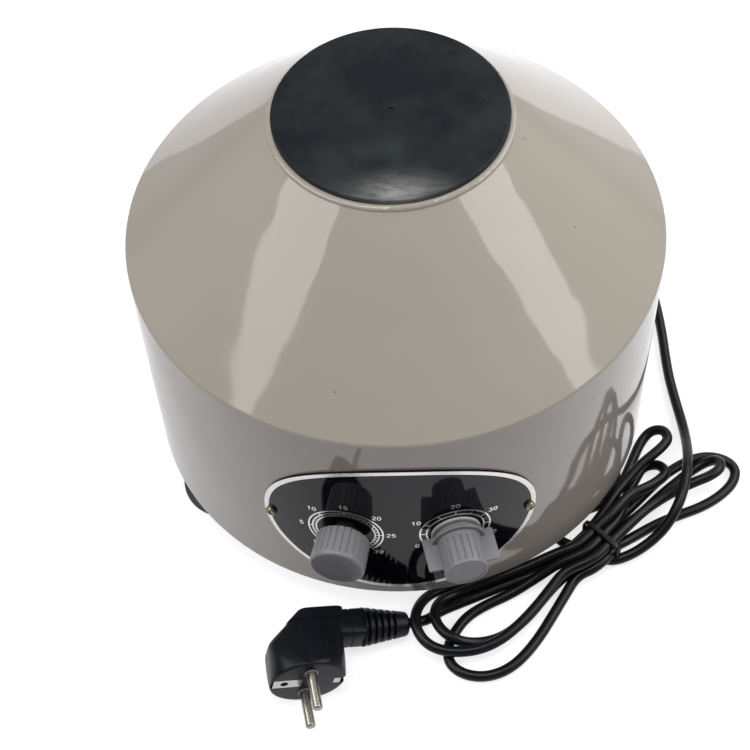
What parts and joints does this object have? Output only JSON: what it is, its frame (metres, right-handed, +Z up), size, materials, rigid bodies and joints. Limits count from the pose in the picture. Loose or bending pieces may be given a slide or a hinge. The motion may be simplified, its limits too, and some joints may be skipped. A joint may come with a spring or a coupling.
{
  "type": "bench centrifuge",
  "caption": "Bench centrifuge: round drum with conical top, lift-off lid, front dial panel with timer and speed knobs, suction feet and a corded plug.",
  "frame": {"origin": "on the rotor's axis, at the bench top under the feet", "axes": "+Z up along the rotor's axis; -Y out through the control panel; +X to the right of someone facing the panel"},
  "size_m": [0.307, 0.4001, 0.2195],
  "materials": {
    "casing_paint": "glossy warm grey paint",
    "panel": "glossy black with a silver border",
    "lid": "satin black",
    "knob": "satin grey",
    "rubber": "matte black",
    "cord": "smooth black PVC",
    "plug": "moulded black PVC",
    "nickel": "nickel plated",
    "steel": "zinc plated or turned",
    "aluminium": "satin",
    "core": "stacked sheets",
    "copper": "enamelled copper wire",
    "brass": "plain",
    "carbon": "pressed carbon",
    "moulded": "moulded housing",
    "board": "laminate"
  },
  "bodies": {
    "casing": {"base_plate": "steel", "base_screws": "steel", "board_components": "moulded", "brush_holders": "brass", "brush_springs": "steel", "cable_bush": "rubber", "carbon_brushes": "carbon", "chamber_bowl": "aluminium", "chamber_posts": "steel", "chamber_screws": "steel", "control_board": "board", "control_nuts": "nickel", "cord_hank": "cord", "cord_lead": "cord", "cord_tie": "plug", "damper_bolts": "steel", "damper_nuts": "steel", "foot_front_left": "rubber", "foot_front_right": "rubber", "foot_nuts": "steel", "foot_rear": "rubber", "foot_studs": "steel", "heatsink": "aluminium", "housing_shell": "casing_paint", "motor_bearings": "steel", "motor_bolts": "steel", "motor_end_cap_lower": "aluminium", "motor_end_cap_upper": "aluminium", "motor_field_coils": "copper", "motor_plate": "steel", "motor_stator": "core", "panel_plate": "panel", "panel_screws": "nickel", "plug_body": "plug", "plug_earth_contacts": "nickel", "plug_pins": "nickel", "rubber_dampers": "rubber", "speed_potentiometer": "steel", "terminal_block": "moulded", "timer_body": "moulded"},
    "rotor": {"motor_shaft": "steel", "armature_core": "core", "armature_windings": "copper", "commutator": "copper", "cooling_fan": "moulded", "rotor_head": "aluminium", "rotor_nut": "steel", "sleeve_cushions": "rubber", "tube_sleeve_1": "aluminium", "tube_sleeve_2": "aluminium", "tube_sleeve_3": "aluminium", "tube_sleeve_4": "aluminium", "tube_sleeve_5": "aluminium", "tube_sleeve_6": "aluminium"},
    "lid": {"lid": "lid", "lid_tabs": "lid"},
    "timer_control": {"timer_knob": "knob", "timer_shaft": "brass"},
    "speed_control": {"speed_knob": "knob", "speed_shaft": "brass"}
  },
  "joints": [
    {"name": "lid_lift", "type": "slide", "parent": "casing", "child": "lid", "axis": [0, 0, 1], "range_m": [0, 0.12]},
    {"name": "rotor_spin", "type": "hinge", "parent": "casing", "child": "rotor", "pos_m": [0, 0, 0.06], "axis": [0, 0, 1], "continuous": true},
    {"name": "timer_turn", "type": "hinge", "parent": "casing", "child": "timer_control", "pos_m": [-0.02583, -0.12741, 0.07], "axis": [-0.1987, -0.9801, 0], "range_deg": [-270, 0]},
    {"name": "speed_turn", "type": "hinge", "parent": "casing", "child": "speed_control", "pos_m": [0.02583, -0.12741, 0.07], "axis": [0.1987, -0.9801, 0], "range_deg": [-240, 0]}
  ]
}
